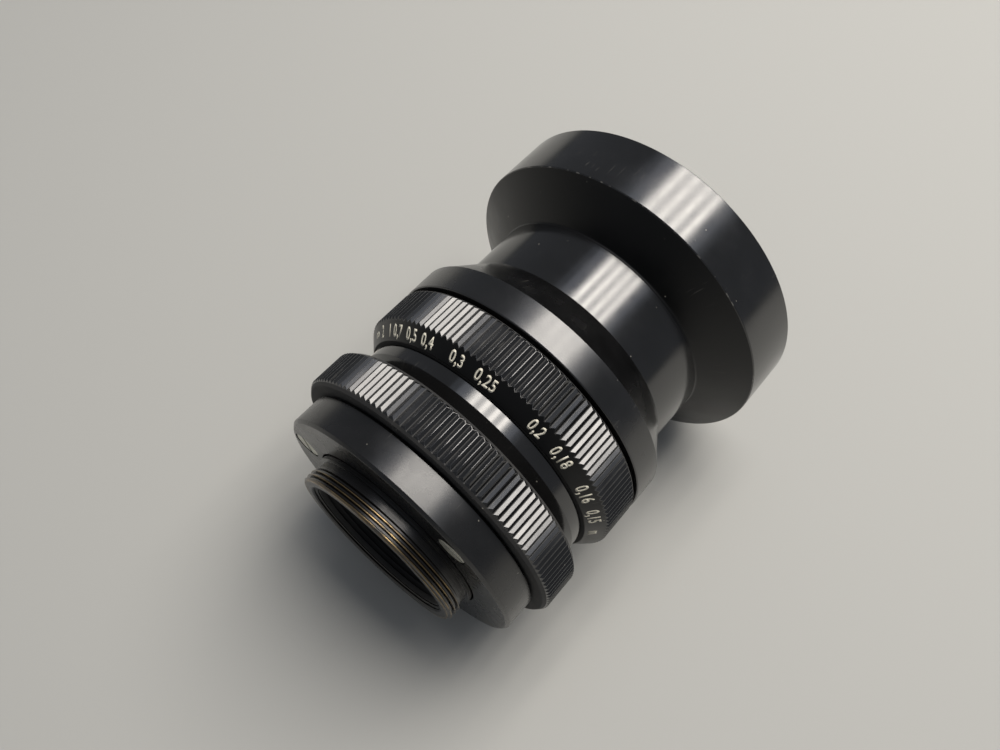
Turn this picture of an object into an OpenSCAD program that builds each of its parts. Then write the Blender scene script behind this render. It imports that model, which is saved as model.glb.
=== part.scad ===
// Wide-angle screw-mount lens: fixed barrel, click aperture ring with a six-blade iris,
// helical focus ring and a front unit with its hood.
// Row frame: origin at the centre of the register face, +Y to the front, +Z up.
// Pieces are turned about a local Z axis, which lathe() lays along +Y.

/* [Rear mount] */
// Outer diameter of the camera thread
thread_d = 39; // [38:0.25:40]
// Length of the camera thread
thread_l = 3.3; // [2.5:0.1:5]
// Length of the plain neck between thread and flange
neck_l = 2.6; // [1.8:0.1:4]
// Depth of the relief behind the thread
neck_relief = 0.5; // [0.2:0.1:0.8]
// Wall of the screw tube at the thread
thread_wall = 3.4; // [3:0.1:4]
// Wall of the screw tube's spigot inside the flange
spigot_wall = 2.4; // [1.8:0.1:2.8]
// Height of the shoulder above the thread
shoulder_h = 0.4; // [0.2:0.05:0.8]
// Length of the shoulder behind the register face
shoulder_l = 0.9; // [0.5:0.1:1.2]
// Depth of the shoulder's seat in the flange
seat_depth = 1.5; // [1:0.1:2]
// Thickness of the mount flange
flange_l = 7.2; // [6.6:0.1:9]
// Chamfer at the rear edge of the flange
flange_chamfer = 0.6; // [0.2:0.1:1]
// Number of flange screws
screw_count = 3; // [2:1:4]
// Angle of the first flange screw from the top
screw_first_a = 40; // [0:5:90]
// Land between the screw tube's seat and a screw's counterbore
screw_land = 1.25; // [1:0.05:2]
// Land between a screw's counterbore and the flange's edge
flange_land = 1.05; // [0.8:0.05:2]
// Diameter of a flange screw's head
screw_head_d = 5.9; // [4.5:0.1:6]
// Height of a flange screw's head
screw_head_l = 1.5; // [1:0.1:2]
// Diameter of a flange screw's shank
screw_shank_d = 2.9; // [2:0.1:3]
// Pitch of the light-stopping ribs in the rear bore
baffle_pitch = 1; // [0.6:0.1:1.6]
// Depth of the light-stopping ribs
baffle_rib = 0.5; // [0.2:0.1:0.6]

/* [Fixed barrel] */
// Wall of the main barrel
barrel_wall = 2.7; // [2:0.1:2.9]
// Thickness of the main barrel's foot inside the flange
barrel_foot_l = 3; // [2.6:0.1:3.6]
// Length of the index ring
index_l = 5.9; // [5:0.1:7]
// Height of the index ring above the main barrel
index_h = 2.9; // [2.7:0.05:3.2]
// Length of the conical rear of the index ring
index_cone_l = 3.1; // [1:0.1:3.4]
// Width of the ring that retains the focus ring
keeper_l = 1.2; // [0.8:0.1:1.5]
// Height of that ring above the main barrel
keeper_h = 2.8; // [2:0.1:3]
// Length of a guide key
key_l = 4; // [3:0.1:4.4]
// Width of a guide key
key_w = 3; // [2:0.1:4]
// Height of a guide key above the main barrel
key_h = 2; // [1:0.1:2.8]

/* [Aperture ring] */
// Length of the aperture ring
aperture_l = 9.2; // [8:0.1:11]
// Wall of both grips over the driven skirt
grip_wall = 3.4; // [3:0.1:4]
// Number of knurl teeth on each ring
knurl_count = 136; // [60:1:160]
// Depth of a knurl tooth
knurl_h = 0.45; // [0.2:0.05:0.6]
// Chamfer at the ends of the aperture ring
aperture_chamfer = 1; // [0.4:0.1:1.5]
// Radius of the click ball
ball_r = 0.8; // [0.6:0.05:0.9]
// Depth of the click dimples
dimple_depth = 0.15; // [0.08:0.01:0.2]
// Angle of the click ball from the top
click_a = 20; // [0:5:60]
// Radius of the aperture drive pin
drive_pin_r = 1; // [0.8:0.05:1.2]
// Angle of the aperture drive pin from the top
drive_a = 180; // [150:5:200]

/* [Focus ring] */
// Length of the focus ring
focus_l = 11.8; // [11:0.1:14]
// Wall of the focus ring at the narrow end of its conical scale
scale_wall = 3.6; // [3.4:0.1:4.4]
// Thickness of the focus ring's rear wall
focus_wall_l = 2.1; // [1.8:0.1:2.6]
// Wall of the front barrel's driven skirt
skirt_wall = 3.4; // [3.2:0.1:3.8]
// Chamfer at the front of the focus ring
focus_chamfer = 0.6; // [0.2:0.1:1]
// Turn of the focus ring from infinity to the nearest distance
focus_turn = 151; // [60:1:180]
// Forward travel of the lens unit per turn of the focus ring
focus_lead = 4.2; // [1:0.1:5]
// Radius of the focus stop pin
stop_pin_r = 0.8; // [0.5:0.05:0.9]
// Angle of the focus stop pin from the top
stop_a = 60; // [0:5:90]

/* [Front barrel and hood] */
// Length of the smooth band
band_l = 6.5; // [5:0.1:9]
// Length of the cone behind the neck
cone_l = 7.5; // [6:0.1:10]
// Wall of the neck over the hood's sleeve
neck_wall = 1.3; // [1:0.1:2]
// Thickness of the web that carries the iris housing
web_l = 3.5; // [3:0.1:4.5]
// Distance from the web back to the iris floor
iris_depth = 13.65; // [13.4:0.05:14]
// Length of the neck
front_neck_l = 13.1; // [12:0.1:16]
// Outer radius of the hood's rim
hood_r = 36.8; // [35:0.1:42]
// Length of the hood's cone
hood_cone_l = 5.9; // [5:0.1:9]
// Length of the hood's rim
hood_rim_l = 13.3; // [8:0.1:20]
// Wall of the hood's rim
hood_wall = 1.5; // [1.2:0.1:2]
// Depth of the hood's sleeve in the neck
sleeve_l = 5.5; // [4:0.1:6]
// Wall of the hood's sleeve
sleeve_wall = 1.4; // [1:0.1:1.5]
// Pitch of the light-stopping ribs inside the rim
hood_pitch = 1.5; // [1:0.1:3]
// Depth of the ribs inside the rim
hood_rib = 0.4; // [0.2:0.05:0.6]

/* [Glass] */
// Radius of the first glass
g1_r = 23.3; // [22.5:0.1:24]
// Curve of its front face, negative where hollow
g1_front = 60; // [50:1:80]
// Curve of its back face, negative where hollow
g1_back = -24; // [-30:0.5:-22]
// Its thickness in the middle
g1_t = 2.5; // [2:0.1:3.5]
// Radius of the second glass
g2_r = 16; // [15:0.1:17]
// Curve of its front face, negative where hollow
g2_front = 40; // [35:1:60]
// Curve of its back face, negative where hollow
g2_back = -16; // [-20:0.5:-15]
// Its thickness in the middle
g2_t = 2.2; // [1.8:0.1:3]
// Step from the fourth glass's radius to the third's
g3_step = 2; // [1.6:0.1:2.6]
// Curve of its front face, negative where hollow
g3_front = 30; // [26:1:40]
// Curve of its back face, negative where hollow
g3_back = 45; // [35:1:60]
// Its thickness in the middle
g3_t = 7; // [5:0.1:8]
// Radius of the fourth glass
g4_r = 10; // [9.5:0.1:11]
// Curve of its front face, negative where hollow
g4_front = 25; // [22:1:35]
// Curve of its back face, negative where hollow
g4_back = 60; // [40:1:80]
// Its thickness in the middle
g4_t = 5; // [4:0.1:6]
// Radius of the fifth glass
g5_r = 9.5; // [9:0.1:10]
// Curve of its front face, negative where hollow
g5_front = -26; // [-35:0.5:-22]
// Its thickness in the middle
g5_t = 1.2; // [1:0.1:1.8]
// Radius of the sixth glass
g6_r = 9.5; // [9:0.1:10]
// Curve of its front face, negative where hollow
g6_front = 20; // [18:0.5:26]
// Curve of its back face, negative where hollow
g6_back = 40; // [30:1:60]
// Its thickness in the middle
g6_t = 4; // [3:0.1:5]
// Radius of the seventh glass
g7_r = 9.5; // [9:0.1:10]
// Curve of its front face, negative where hollow
g7_front = 30; // [26:1:40]
// Curve of its back face, negative where hollow
g7_back = 60; // [40:1:80]
// Its thickness in the middle
g7_t = 3; // [2:0.1:4]
// Clear radius of the first glass's hollow back
hollow_1 = 19.5; // [18:0.1:21]
// Clear radius of the second glass's hollow back
hollow_2 = 12.5; // [11:0.1:13.5]
// Clear radius of the fifth glass's hollow front
hollow_5 = 8.5; // [8:0.1:8.8]
// Air between the first and the second glass
air_1 = 7; // [6:0.1:8]
// Air between the third and the fourth glass
air_3 = 1.5; // [1:0.1:2]
// Air between the sixth and the seventh glass
air_6 = 0.4; // [0.2:0.05:0.8]
// Distance from the iris floor to the front of the fourth glass
front_group_l = 9.15; // [9:0.05:9.6]
// Room between the web and the front cell
cell_room = 4; // [3:0.1:5]
// Distance from the front cell's seat to the first glass's seat
cell_depth = 9; // [8:0.1:10]

/* [Iris] */
// Number of iris blades
blade_count = 6; // [6:1:6]
// Radius of the iris wide open
open_r = 8.2; // [7.6:0.1:8.4]
// Distance from the open iris to the circle of blade pivots
pivot_reach = 6.6; // [6.4:0.05:6.7]
// Turn of the aperture ring from wide open to the smallest stop
iris_turn = 42; // [30:1:42]
// Turn of a blade per turn of the aperture ring
blade_ratio = 0.67; // [0.5:0.01:0.67]
// Thickness of a blade
blade_t = 0.15; // [0.08:0.01:0.18]
// Distance from one blade's plane to the next
blade_step = 0.25; // [0.25:0.01:0.3]
// Radius of a blade's pins
blade_pin_r = 0.5; // [0.4:0.05:0.6]
// Angle from a blade's pivot back to its cam pin
cam_a = 15; // [14:0.5:16]
// Angle that a blade covers ahead of its pivot
blade_span = 125; // [120:1:130]
// Thickness of the iris drive ring
drive_ring_l = 1.2; // [1:0.1:1.4]
// Distance from the blade pivots to the wall of the iris housing
blade_room = 3; // [2.9:0.05:3.3]
// Wall of the iris housing
housing_wall = 2.5; // [2:0.1:3]
// Wall of the arm that reaches back to the drive pin
arm_wall = 1.3; // [1:0.1:1.5]
// Half the width of that arm
arm_half_w = 2.6; // [2.2:0.1:3]

/* [Fits] */
// Radial clearance of turning and sliding fits
run_fit = 0.1; // [0.05:0.01:0.1]
// Radial clearance of pieces that are screwed or pressed together
seat_fit = 0.03; // [0.02:0.01:0.05]
// Axial gap between a ring and its neighbours
side_gap = 0.2; // [0.15:0.05:0.3]
// Gap round pieces that pass each other freely
free_gap = 0.3; // [0.2:0.05:0.5]

/* [Hidden] */
$fn = 96;
black = "#1c1c1d";
inner_black = "#101011";
brass = "#a8834a";
steel = "#a9abad";
glass = "#7f93a0";
// Iris and main barrel, from the middle outwards
pivot_r = open_r + pivot_reach;
iris_bore_r = pivot_r + blade_room;
iris_housing_r = iris_bore_r + housing_wall;
housing_spigot_r = iris_housing_r - 1.7;
arm_r = iris_housing_r + free_gap;
barrel_bore_r = arm_r + arm_wall + free_gap + run_fit;
barrel_r = barrel_bore_r + barrel_wall;

// Rings on the main barrel
index_r = barrel_r + index_h;
keeper_r = barrel_r + keeper_h;
ring_bore_r = barrel_r + run_fit;
skirt_r = ring_bore_r + skirt_wall;
scale_r = ring_bore_r + scale_wall;
grip_r = skirt_r + run_fit + grip_wall;
root_r = grip_r - knurl_h;
stop_circle_r = (barrel_r + index_r) / 2 + run_fit / 2;
edge = 0.4;
small_edge = 0.2;

// Rear mount
thread_r = thread_d / 2;
rear_bore_r = thread_r - thread_wall;
spigot_r = rear_bore_r + spigot_wall;
shoulder_r = thread_r + shoulder_h;
thread_rear = -neck_l - thread_l;
seat_r = shoulder_r + free_gap;
screw_head_r = screw_head_d / 2;
screw_shank_r = screw_shank_d / 2;
pocket_r = screw_head_r + 0.2;
screw_circle_r = seat_r + screw_land + pocket_r;
flange_r = screw_circle_r + pocket_r + flange_land;
foot_r = screw_circle_r + screw_shank_r + 1.05;
foot_z = flange_l - barrel_foot_l;
screw_sink = 0.1;
screw_slot_w = 0.7;
screw_slot_depth = 0.65;
screw_hole_z = flange_l - 0.4;
screw_tip_z = screw_hole_z - 0.2;

// Rings along the barrel
aperture_z = flange_l + side_gap + 0.05;
aperture_front = aperture_z + aperture_l;
index_z = aperture_front + 0.35;
index_front = index_z + index_l;
focus_z = index_front + side_gap;
focus_front = focus_z + focus_l;
focus_floor = focus_z + focus_wall_l;
keeper_z = focus_floor + side_gap;
keeper_front = keeper_z + keeper_l;
skirt_z = keeper_front + 0.6;
key_z = skirt_z + 1.3;
key_front = key_z + key_l;
barrel_front = key_front + 1.5;
key_sink = 0.8;
stop_pin_z = index_front - 1.1;
stop_pin_front = focus_floor - 0.55;
focus_travel = focus_lead * focus_turn / 360;

// Front unit
band_z = focus_front + 0.7;
band_front = band_z + band_l;
cone_front = band_front + cone_l;
neck_front = cone_front + front_neck_l;
hood_rim_z = neck_front + hood_cone_l;
hood_front = hood_rim_z + hood_rim_l;
web_z = barrel_front + focus_travel + 0.74;
web_front = web_z + web_l;
cell_seat = web_front + cell_room;
cell_wall = 0.7;
cell_r = g1_r + cell_wall;
sleeve_r = cell_r + run_fit + sleeve_wall;
neck_r = sleeve_r + neck_wall;

// Iris, from the housing's floor to the rear
iris_z = web_z - iris_depth;
floor_l = 2;
floor_r = open_r + 0.4;
blade_stack = blade_count * blade_step;
ring_gap = 0.1;
drive_ring_front = iris_z - blade_stack - ring_gap;
drive_ring_z = drive_ring_front - drive_ring_l;
cover_l = 1.15;
cover_front = drive_ring_z - ring_gap / 2;
cover_z = cover_front - cover_l;
cell_spigot_l = 1;
pivot_hole_l = 1.4;
housing_z = cover_z - cell_spigot_l - seat_fit;
ear_r = blade_pin_r + 0.5;
blade_outer_r = pivot_r - blade_pin_r - 0.4;
cam_clear = 0.06;
tail_a = 4;
drive_ring_r = iris_bore_r - run_fit;
drive_z = aperture_z + aperture_l / 2 - 0.05;
arm_z = drive_z - drive_pin_r - 2.5;
pin_tip_r = arm_r + free_gap;
pin_seat_r = barrel_r + 4;
click_z = aperture_z + 2.05;
ball_circle_r = barrel_r + run_fit / 2 - ball_r;
rivet_a = click_a + 30;
spring_l = 2.2;
spring_t = 0.3;
spring_gap = 0.05;
rivet_r = ball_r - seat_fit;
rivet_seat_r = barrel_r - 1;

// Turn of a blade when the ring has turned by a
function blade_turn(a) = a * blade_ratio;

// Turn of the ring at which the iris has radius r
function ring_turn(r) = 2 * asin((open_r - r) / (2 * pivot_r)) / blade_ratio;

// Radius of the iris at stop n, each stop halving its area
function stop_r(n) = open_r / pow(sqrt(2), n);

// A point p turned by a about the origin
function turned(p, a) = [p[0] * cos(a) - p[1] * sin(a), p[0] * sin(a) + p[1] * cos(a)];

// Where a blade's cam pin stands in the drive ring, when the ring has turned by a
function cam_point(a) =
  let (arm = pivot_r * [cos(cam_a) - 1, -sin(cam_a)])
  turned([pivot_r, 0] + turned(arm, blade_turn(a)), a);

// Height of a sphere's cap of radius r
function sag(curve, r) = abs(curve) - sqrt(curve * curve - r * r);

// Each glass as [radius, front curve, back curve, thickness]; the fifth and sixth are cemented
glass_fit = 0.02;
g3_r = g4_r + g3_step;
glass_1 = [g1_r, g1_front, g1_back, g1_t];
glass_2 = [g2_r, g2_front, g2_back, g2_t];
glass_3 = [g3_r, g3_front, g3_back, g3_t];
glass_4 = [g4_r, g4_front, g4_back, g4_t];
glass_5 = [g5_r, g5_front, -g6_front - glass_fit, g5_t - glass_fit];
glass_6 = [g6_r, g6_front, g6_back, g6_t];
glass_7 = [g7_r, g7_front, g7_back, g7_t];

// Glass positions: the z of each front vertex
g1_seat = cell_seat + cell_depth;
g1_z = g1_seat + sag(g1_back, hollow_1) + g1_t;
g2_z = g1_z - g1_t - air_1;
g2_rim = g2_z - g2_t - sag(g2_back, hollow_2);
g4_z = iris_z + front_group_l;
g3_z = g4_z + air_3 + g3_t;
g5_rim = housing_z + 0.2;
g5_z = g5_rim - sag(g5_front, hollow_5);
g6_z = g5_z - g5_t;
g7_z = g6_z - g6_t - air_6;
rear_cell_z = g7_z - g7_t - 0.8;

// The first glass's ring sits on its front face; the cell ends above it
front_ring_w = 1;
front_ring_z = g1_z - sag(g1_front, g1_r - front_ring_w) + glass_fit;
cell_front = front_ring_z + 2.4;

// Lays pieces turned about Z along the lens axis
module lathe() rotate([-90, 0, 0]) children();

// Turns children to angle a from the top, clockwise seen from behind the lens
module at_angle(a) rotate([0, 0, a - 90]) children();

// A turned piece from its [radius, z] outline
module turn_profile(outline) lathe() rotate_extrude() polygon(outline);

// A plain tube from z1 to z2
module tube(outer, inner, z1, z2) {
  turn_profile([[inner, z1], [outer, z1], [outer, z2], [inner, z2]]);
}

// A round bar along the radius from r1 to r2, at angle a and height z
module radial_bar(r, r1, r2, a, z) {
  lathe() at_angle(a) translate([r1, 0, z]) rotate([0, 90, 0]) cylinder(h = r2 - r1, r = r);
}

// A round bar along the axis from z1 to z2, at angle a and radius p
module axial_bar(r, p, a, z1, z2) {
  lathe() at_angle(a) translate([p, 0, z1]) cylinder(h = z2 - z1, r = r);
}

// A block centred on angle a, from r1 to r2 and z1 to z2
module radial_block(w, r1, r2, a, z1, z2) {
  lathe() at_angle(a) translate([r1, -w / 2, z1]) cube([r2 - r1, w, z2 - z1]);
}

// Part of a tube from angle a1 to a2
module arc_band(outer, inner, z1, z2, a1, a2) {
  lathe() at_angle(a1) rotate_extrude(angle = a2 - a1)
    translate([inner, z1]) square([outer - inner, z2 - z1]);
}

// A glass whose front vertex is at z; hollow faces are ground to their clear radius only
module lens_glass(z, g, front_clear = 0, back_clear = 0) {
  back_z = z - g[3];
  top = g[1] > 0 ? z : z + sag(g[1], front_clear);
  bottom = g[2] > 0 ? back_z : back_z - sag(g[2], back_clear);
  $fn = 180;
  lathe() difference() {
    intersection() {
      translate([0, 0, bottom]) cylinder(h = top - bottom, r = g[0]);
      if (g[1] > 0) translate([0, 0, z - g[1]]) sphere(r = g[1]);
      if (g[2] > 0) translate([0, 0, back_z + g[2]]) sphere(r = g[2]);
    }
    if (g[1] < 0) translate([0, 0, z - g[1]]) sphere(r = -g[1]);
    if (g[2] < 0) translate([0, 0, back_z + g[2]]) sphere(r = -g[2]);
  }
}

// Straight knurl teeth with sharp crests and narrow flat roots
module knurl_teeth(z1, z2) {
  pitch = 360 / knurl_count;
  land = 0.08 * pitch;
  tooth = [[0, grip_r], [pitch / 2 - land / 2, root_r], [pitch / 2 + land / 2, root_r]];
  outline = [for (i = [0:knurl_count - 1], s = tooth)
    s[1] * [cos(i * pitch + s[0]), sin(i * pitch + s[0])]];
  lathe() translate([0, 0, z1]) linear_extrude(z2 - z1) polygon(outline);
}

// Outline of saw-tooth ribs from z1 to z2, each rising from radius low to radius high
function rib_points(low, high, z1, z2, pitch) =
  let (n = max(1, floor(abs(z2 - z1) / pitch)), step = (z2 - z1) / n)
  [for (i = [0:n - 1], top = [0, 1])
    [top == 0 ? low : high, z1 + step * (i + 0.85 * top)]];

// ---- Fixed body ----

// Screw tube with the camera thread as a plain cylinder of its outer size
module mount_thread() {
  color(brass) turn_profile([
    [rear_bore_r, thread_rear],
    [thread_r - edge, thread_rear],
    [thread_r, thread_rear + edge],
    [thread_r, -neck_l - edge],
    [thread_r - neck_relief, -neck_l],
    [thread_r - neck_relief, -shoulder_l],
    [shoulder_r, -shoulder_l],
    [shoulder_r, seat_depth],
    [spigot_r, seat_depth],
    [spigot_r, flange_l - small_edge],
    [rear_bore_r, flange_l - small_edge]
  ]);
}

// Places children at each flange screw
module each_screw() {
  for (i = [0:screw_count - 1])
    lathe() at_angle(screw_first_a - i * 360 / screw_count)
      translate([screw_circle_r, 0, 0]) children();
}

// Rear disc whose rear face is the register face
module mount_flange() {
  color(black) difference() {
    turn_profile([
      [seat_r, 0],
      [flange_r - flange_chamfer, 0],
      [flange_r, flange_chamfer],
      [flange_r, flange_l - edge],
      [flange_r - edge, flange_l],
      [foot_r + seat_fit, flange_l],
      [foot_r + seat_fit, foot_z],
      [spigot_r + seat_fit, foot_z],
      [spigot_r + seat_fit, seat_depth],
      [seat_r, seat_depth]
    ]);
    each_screw() translate([0, 0, -1])
      cylinder(h = screw_sink + screw_head_l + 1, r = pocket_r);
    each_screw() cylinder(h = flange_l, r = screw_shank_r + run_fit);
  }
}

// Slotted screws that hold the flange to the barrel's foot
module flange_screws() {
  color(steel) each_screw() difference() {
    union() {
      translate([0, 0, screw_sink]) cylinder(h = screw_head_l, r = screw_head_r);
      translate([0, 0, screw_sink + screw_head_l / 2])
        cylinder(h = screw_tip_z - screw_sink - screw_head_l / 2, r = screw_shank_r);
    }
    translate([-screw_head_r - 1, -screw_slot_w / 2, -1])
      cube([screw_head_d + 2, screw_slot_w, screw_sink + screw_slot_depth + 1]);
  }
}

// Ribbed sleeve that stops stray light in the rear bore
module rear_baffle() {
  rear = thread_rear + 0.9;
  front = flange_l - 0.1;
  outer = rear_bore_r - seat_fit;
  inner = outer - 0.3;
  color(inner_black) turn_profile(concat(
    [[outer, front], [outer, rear]],
    rib_points(inner, inner - baffle_rib, rear, front - 0.3, baffle_pitch),
    [[inner, front]]
  ));
}

// Fixed tube with its foot, the pin window, key seats and ball hole
module main_barrel() {
  window_half = drive_pin_r + 0.3;
  pin_a = asin((drive_pin_r + 0.15) / barrel_bore_r);
  color(black) difference() {
    turn_profile([
      [spigot_r + seat_fit, foot_z],
      [foot_r, foot_z],
      [foot_r, flange_l],
      [barrel_r, flange_l],
      [barrel_r, barrel_front - edge],
      [barrel_r - edge, barrel_front],
      [barrel_bore_r, barrel_front],
      [barrel_bore_r, flange_l],
      [spigot_r + seat_fit, flange_l]
    ]);
    each_screw() cylinder(h = screw_hole_z, r = screw_shank_r + seat_fit);
    arc_band(barrel_r + 1, barrel_bore_r - 1, drive_z - window_half, drive_z + window_half,
      drive_a - iris_turn - pin_a, drive_a + pin_a);
    for (a = [90, 270])
      radial_block(key_w + 2 * seat_fit, barrel_r - key_sink, barrel_r + 1, a,
        key_z - seat_fit, key_front + seat_fit);
    radial_bar(ball_r + run_fit / 2, barrel_bore_r - 1, barrel_r + 1, click_a, click_z);
    radial_bar(ball_r, barrel_bore_r - 1, rivet_seat_r, rivet_a, click_z);
  }
}

// Narrow ring with the conical rear, and the groove of the focus stop
module index_ring() {
  groove_w = stop_pin_r + run_fit;
  stop_half_a = asin((stop_pin_r + 0.15) / stop_circle_r);
  color(black) difference() {
    turn_profile([
      [barrel_r + seat_fit, index_z],
      [barrel_r + edge, index_z],
      [index_r, index_z + index_cone_l],
      [index_r, index_front],
      [barrel_r + seat_fit, index_front]
    ]);
    arc_band(stop_circle_r + groove_w, stop_circle_r - groove_w, stop_pin_z - free_gap,
      index_front + 1, stop_a - focus_turn - stop_half_a, stop_a + stop_half_a);
  }
}

// Screwed ring that keeps the focus ring, with two spanner slots
module focus_retaining_ring() {
  color(black) difference() {
    tube(keeper_r, barrel_r + seat_fit, keeper_z, keeper_front);
    for (a = [0, 180])
      radial_block(1.2, barrel_r - 1, keeper_r + 1, a, keeper_front - 0.5, keeper_front + 1);
  }
}

// Two keys that guide the front barrel
module guide_keys() {
  color(steel) for (a = [90, 270])
    radial_block(key_w, barrel_r - key_sink + seat_fit, barrel_r + key_h, a, key_z, key_front);
}

// Ball that drops into the click dimples
module click_ball() {
  color(steel) lathe() at_angle(click_a) translate([ball_circle_r, 0, click_z])
    sphere(r = ball_r);
}

// Leaf spring with its rivet and the bump that lifts the ball
module click_spring() {
  outer = barrel_bore_r - spring_gap;
  over = 6;
  color(steel) union() {
    arc_band(outer, outer - spring_t, click_z - spring_l / 2, click_z + spring_l / 2,
      click_a - over, rivet_a + over);
    radial_bar(ball_r - 0.25, outer - spring_t / 2, ball_circle_r - ball_r - seat_fit,
      click_a, click_z);
    radial_bar(rivet_r, outer - spring_t / 2, rivet_seat_r - seat_fit, rivet_a, click_z);
  }
}

// ---- Aperture ring ----

// Knurled ring with click dimples at the stops
module aperture_ring() {
  dimple_r = ball_r + 0.15;
  chamfer_r = grip_r - aperture_chamfer;
  color(black) difference() {
    intersection() {
      knurl_teeth(aperture_z, aperture_front);
      turn_profile([
        [ring_bore_r, aperture_z],
        [chamfer_r, aperture_z],
        [grip_r + 1, aperture_z + aperture_chamfer + 1],
        [grip_r + 1, aperture_front - aperture_chamfer - 1],
        [chamfer_r, aperture_front],
        [ring_bore_r, aperture_front]
      ]);
    }
    for (n = [0:6])
      lathe() at_angle(click_a + ring_turn(stop_r(n)))
        translate([ring_bore_r + dimple_depth - dimple_r, 0, click_z]) sphere(r = dimple_r);
    radial_bar(drive_pin_r + seat_fit, barrel_r - 1, pin_seat_r + 0.1, drive_a, drive_z);
  }
}

// Pin that reaches through the barrel's window into the iris fork
module aperture_drive_pin() {
  color(steel) radial_bar(drive_pin_r, pin_tip_r, pin_seat_r, drive_a, drive_z);
}

// ---- Focus ring ----

// Knurled ring with the conical scale and the hollow that drives the skirt
module focus_ring() {
  scale_l = grip_r + 1 - scale_r;
  color(black) difference() {
    intersection() {
      knurl_teeth(focus_z, focus_front);
      turn_profile([
        [ring_bore_r, focus_z],
        [scale_r, focus_z],
        [grip_r + 1, focus_z + scale_l],
        [grip_r + 1, focus_front - focus_chamfer - 1],
        [grip_r - focus_chamfer, focus_front],
        [skirt_r + run_fit, focus_front],
        [skirt_r + run_fit, focus_floor],
        [ring_bore_r, focus_floor]
      ]);
    }
    axial_bar(stop_pin_r + seat_fit, stop_circle_r, stop_a, focus_z - 1, stop_pin_front + 0.05);
  }
}

// Pin that stops the focus ring at both ends of its turn
module focus_stop_pin() {
  color(steel) axial_bar(stop_pin_r, stop_circle_r, stop_a, stop_pin_z, stop_pin_front);
}

// ---- Front unit ----

// Skirt, web, smooth band, cone and neck in one turned piece
module front_barrel() {
  slot_w = key_w + 2 * run_fit;
  sleeve_seat_z = neck_front - sleeve_l - run_fit;
  inner_lip = 2;
  color(black) difference() {
    turn_profile([
      [ring_bore_r, skirt_z],
      [skirt_r, skirt_z],
      [skirt_r, band_z],
      [grip_r - small_edge, band_z],
      [grip_r, band_z + small_edge],
      [grip_r, band_front - small_edge],
      [grip_r - small_edge, band_front],
      [neck_r, cone_front],
      [neck_r, neck_front],
      [sleeve_r + seat_fit, neck_front],
      [sleeve_r + seat_fit, sleeve_seat_z],
      [cell_r + seat_fit, sleeve_seat_z],
      [cell_r + seat_fit, cell_seat],
      [cell_r - inner_lip, cell_seat],
      [cell_r - inner_lip, web_front],
      [housing_spigot_r + seat_fit, web_front],
      [housing_spigot_r + seat_fit, web_z],
      [ring_bore_r, web_z]
    ]);
    for (a = [90, 270])
      radial_block(slot_w, barrel_r - 1, skirt_r + 1, a, skirt_z - 1, key_front + edge);
  }
}

// Conical hood with its rim and ribbed inside
module hood() {
  wall_l = 1.5;
  cone_slope = hood_cone_l / (hood_r - neck_r);
  rim_in = hood_r - hood_wall;
  step_r = sleeve_r + run_fit;
  in_cone_z = neck_front + wall_l + (rim_in - step_r) * cone_slope;
  fillet = 0.8;
  color(black) turn_profile(concat(
    [
      [sleeve_r - sleeve_wall, neck_front - sleeve_l],
      [sleeve_r, neck_front - sleeve_l],
      [sleeve_r, neck_front],
      [neck_r, neck_front],
      [neck_r + fillet / 8, neck_front + fillet / 2],
      [neck_r + fillet, neck_front + fillet * cone_slope + fillet / 3],
      [hood_r - small_edge, hood_rim_z],
      [hood_r, hood_rim_z + small_edge],
      [hood_r, hood_front - edge],
      [hood_r - edge, hood_front],
      [rim_in, hood_front]
    ],
    rib_points(rim_in, rim_in + hood_rib, hood_front - 0.8, in_cone_z + 1, hood_pitch),
    [
      [rim_in, in_cone_z + 1],
      [rim_in, in_cone_z],
      [step_r, neck_front + wall_l],
      [sleeve_r - sleeve_wall, neck_front + wall_l]
    ]
  ));
}

// Cell of the first and second glass
module front_cell() {
  pocket = g1_r + seat_fit;
  bore = g2_r + seat_fit;
  lip_r = g2_r - 1.2;
  lip_z = g2_z - sag(g2_front, lip_r) + glass_fit;
  rear = g2_rim - 1.8;
  wall = 1.6;
  seat_z = g1_seat - glass_fit;
  color(inner_black) turn_profile([
    [cell_r, cell_seat + seat_fit],
    [cell_r, cell_front],
    [pocket, cell_front],
    [pocket, seat_z],
    [hollow_1 - 0.9, seat_z],
    [hollow_1 - 2, lip_z + 1],
    [lip_r, lip_z + 1],
    [lip_r, lip_z],
    [bore, lip_z],
    [bore, rear],
    [bore + wall, rear],
    [bore + wall, g1_seat - 2],
    [cell_r - wall, g1_seat - 2],
    [cell_r - wall, cell_seat + seat_fit]
  ]);
}

// A retaining ring from z1 to z2 with two spanner slots from slot_z forwards
module spanner_ring(outer, inner, z1, z2, slot_z, slot_w = 1) {
  slot_l = 1.4;
  color(inner_black) difference() {
    tube(outer, inner, z1, z2);
    for (a = [0, 180])
      radial_block(slot_w, inner - 1, outer - free_gap, a, slot_z, slot_z + slot_l);
  }
}

module front_retaining_ring() {
  spanner_ring(g1_r, g1_r - front_ring_w, front_ring_z, cell_front, cell_front - 0.7);
}

module element_1() {
  color(glass) lens_glass(g1_z, glass_1, back_clear = hollow_1);
}

module element_2() {
  color(glass) lens_glass(g2_z, glass_2, back_clear = hollow_2);
}

module second_retaining_ring() {
  ring_l = 1.5;
  spanner_ring(g2_r, hollow_2 + free_gap, g2_rim - ring_l, g2_rim - glass_fit,
    g2_rim - ring_l - 0.9);
}

module element_3() {
  color(glass) lens_glass(g3_z, glass_3);
}

module middle_retaining_ring() {
  inner = g3_r - 1;
  rear = g3_z - sag(g3_front, inner) + glass_fit;
  ring_l = 1.4;
  spanner_ring(g3_r, inner, rear, rear + ring_l, rear + ring_l - 0.6);
}

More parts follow.
